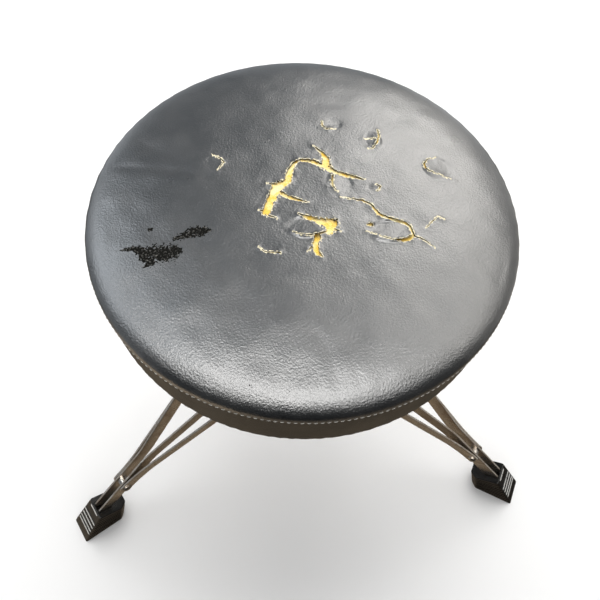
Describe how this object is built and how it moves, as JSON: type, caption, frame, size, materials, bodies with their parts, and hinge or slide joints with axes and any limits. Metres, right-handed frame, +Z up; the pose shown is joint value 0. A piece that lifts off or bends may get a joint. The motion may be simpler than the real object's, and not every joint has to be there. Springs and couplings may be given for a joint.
{
  "type": "drum throne",
  "caption": "Round padded drum throne: vinyl seat on a height-adjustable post above a folding double-braced strap-leg tripod with rubber feet.",
  "frame": {"origin": "on the centre tube axis at floor level, midway between the three legs", "axes": "+Z up along the centre tube; +Y towards the rear leg; +X to the right of a sitter who faces -Y between the two front legs"},
  "size_m": [0.5898, 0.5108, 0.45],
  "materials": {
    "vinyl_top": "glossy worn vinyl with fine grain",
    "vinyl_side": "glossy smooth vinyl",
    "foam": "open-cell foam, aged yellow",
    "plywood": "raw birch plywood",
    "strap_chrome": "tarnished chrome plate",
    "chrome": "bright chrome plate",
    "cast_metal": "plated casting",
    "plated_steel": "zinc plated",
    "rubber": "moulded black rubber",
    "nylon": "natural nylon",
    "black_plastic": "moulded",
    "black_steel": "black oxide"
  },
  "bodies": {
    "frame": {"centre_tube": "chrome", "tube_bush": "black_plastic", "tube_cap": "black_plastic", "leg_collar": "cast_metal", "collar_grub_screws": "black_steel", "hub_stop_ring": "plated_steel"},
    "hub": {"brace_hub": "cast_metal"},
    "rear_leg": {"rear_leg_strap_a": "strap_chrome", "rear_leg_strap_b": "strap_chrome", "rear_leg_pin": "plated_steel", "rear_leg_spacer": "plated_steel", "rear_leg_rivet": "plated_steel", "rear_foot": "rubber"},
    "left_leg": {"left_leg_strap_a": "strap_chrome", "left_leg_strap_b": "strap_chrome", "left_leg_pin": "plated_steel", "left_leg_spacer": "plated_steel", "left_leg_rivet": "plated_steel", "left_foot": "rubber"},
    "right_leg": {"right_leg_strap_a": "strap_chrome", "right_leg_strap_b": "strap_chrome", "right_leg_pin": "plated_steel", "right_leg_spacer": "plated_steel", "right_leg_rivet": "plated_steel", "right_foot": "rubber"},
    "rear_brace": {"rear_brace_strap_a": "strap_chrome", "rear_brace_strap_b": "strap_chrome", "rear_brace_pin": "plated_steel", "rear_brace_rivets": "plated_steel"},
    "left_brace": {"left_brace_strap_a": "strap_chrome", "left_brace_strap_b": "strap_chrome", "left_brace_pin": "plated_steel", "left_brace_rivets": "plated_steel"},
    "right_brace": {"right_brace_strap_a": "strap_chrome", "right_brace_strap_b": "strap_chrome", "right_brace_pin": "plated_steel", "right_brace_rivets": "plated_steel"},
    "post": {"seat_post": "chrome", "post_glide": "nylon", "memory_lock": "chrome", "memory_lock_screw": "plated_steel"},
    "seat": {"cover_top": "vinyl_top", "cover_side": "vinyl_side", "foam_pad": "foam", "seat_board": "plywood", "hem_staples": "plated_steel", "t_nuts": "plated_steel", "seat_socket": "cast_metal", "socket_bolts": "plated_steel"},
    "height_wing": {"height_wing_bolt": "chrome"},
    "hub_wing": {"hub_wing_bolt": "chrome"},
    "socket_wing": {"socket_wing_bolt": "chrome"}
  },
  "joints": [
    {"name": "rear_leg_fold", "type": "hinge", "parent": "frame", "child": "rear_leg", "pos_m": [0, 0.044, 0.286], "axis": [-1, 0, 0], "range_deg": [0, 41]},
    {"name": "left_leg_fold", "type": "hinge", "parent": "frame", "child": "left_leg", "pos_m": [-0.0381, -0.022, 0.286], "axis": [0.5, -0.866, 0], "range_deg": [0, 41]},
    {"name": "right_leg_fold", "type": "hinge", "parent": "frame", "child": "right_leg", "pos_m": [0.0381, -0.022, 0.286], "axis": [0.5, 0.866, 0], "range_deg": [0, 41]},
    {"name": "hub_slide", "type": "slide", "parent": "frame", "child": "hub", "axis": [0, 0, 1], "range_m": [0, 0.0192]},
    {"name": "rear_brace_fold", "type": "hinge", "parent": "hub", "child": "rear_brace", "pos_m": [0, 0.028, 0.26], "axis": [-1, 0, 0], "range_deg": [0, 44]},
    {"name": "left_brace_fold", "type": "hinge", "parent": "hub", "child": "left_brace", "pos_m": [-0.02425, -0.014, 0.26], "axis": [0.5, -0.866, 0], "range_deg": [0, 44]},
    {"name": "right_brace_fold", "type": "hinge", "parent": "hub", "child": "right_brace", "pos_m": [0.02425, -0.014, 0.26], "axis": [0.5, 0.866, 0], "range_deg": [0, 44]},
    {"name": "height_slide", "type": "slide", "parent": "frame", "child": "post", "axis": [0, 0, 1], "range_m": [0, 0.15]},
    {"name": "seat_swivel", "type": "hinge", "parent": "post", "child": "seat", "pos_m": [0, 0, 0.36], "axis": [0, 0, 1], "continuous": true},
    {"name": "height_wing_turn", "type": "hinge", "parent": "frame", "child": "height_wing", "pos_m": [0.02338, 0.0135, 0.318], "axis": [0.866, 0.5, 0], "range_deg": [0, 360]},
    {"name": "hub_wing_turn", "type": "hinge", "parent": "hub", "child": "hub_wing", "pos_m": [-0.02338, 0.0135, 0.243], "axis": [-0.866, 0.5, 0], "range_deg": [0, 360]},
    {"name": "socket_wing_turn", "type": "hinge", "parent": "seat", "child": "socket_wing", "pos_m": [-0.02338, 0.0135, 0.36], "axis": [-0.866, 0.5, 0], "range_deg": [0, 360]}
  ],
  "couplings": [
    {"joint": "left_leg_fold", "follows": "rear_leg_fold", "ratio": 1},
    {"joint": "right_leg_fold", "follows": "rear_leg_fold", "ratio": 1},
    {"joint": "rear_brace_fold", "follows": "rear_leg_fold", "ratio": 1.0656},
    {"joint": "left_brace_fold", "follows": "rear_leg_fold", "ratio": 1.0656},
    {"joint": "right_brace_fold", "follows": "rear_leg_fold", "ratio": 1.0656},
    {"joint": "hub_slide", "follows": "rear_leg_fold", "m_per_rad": 0.026383}
  ]
}
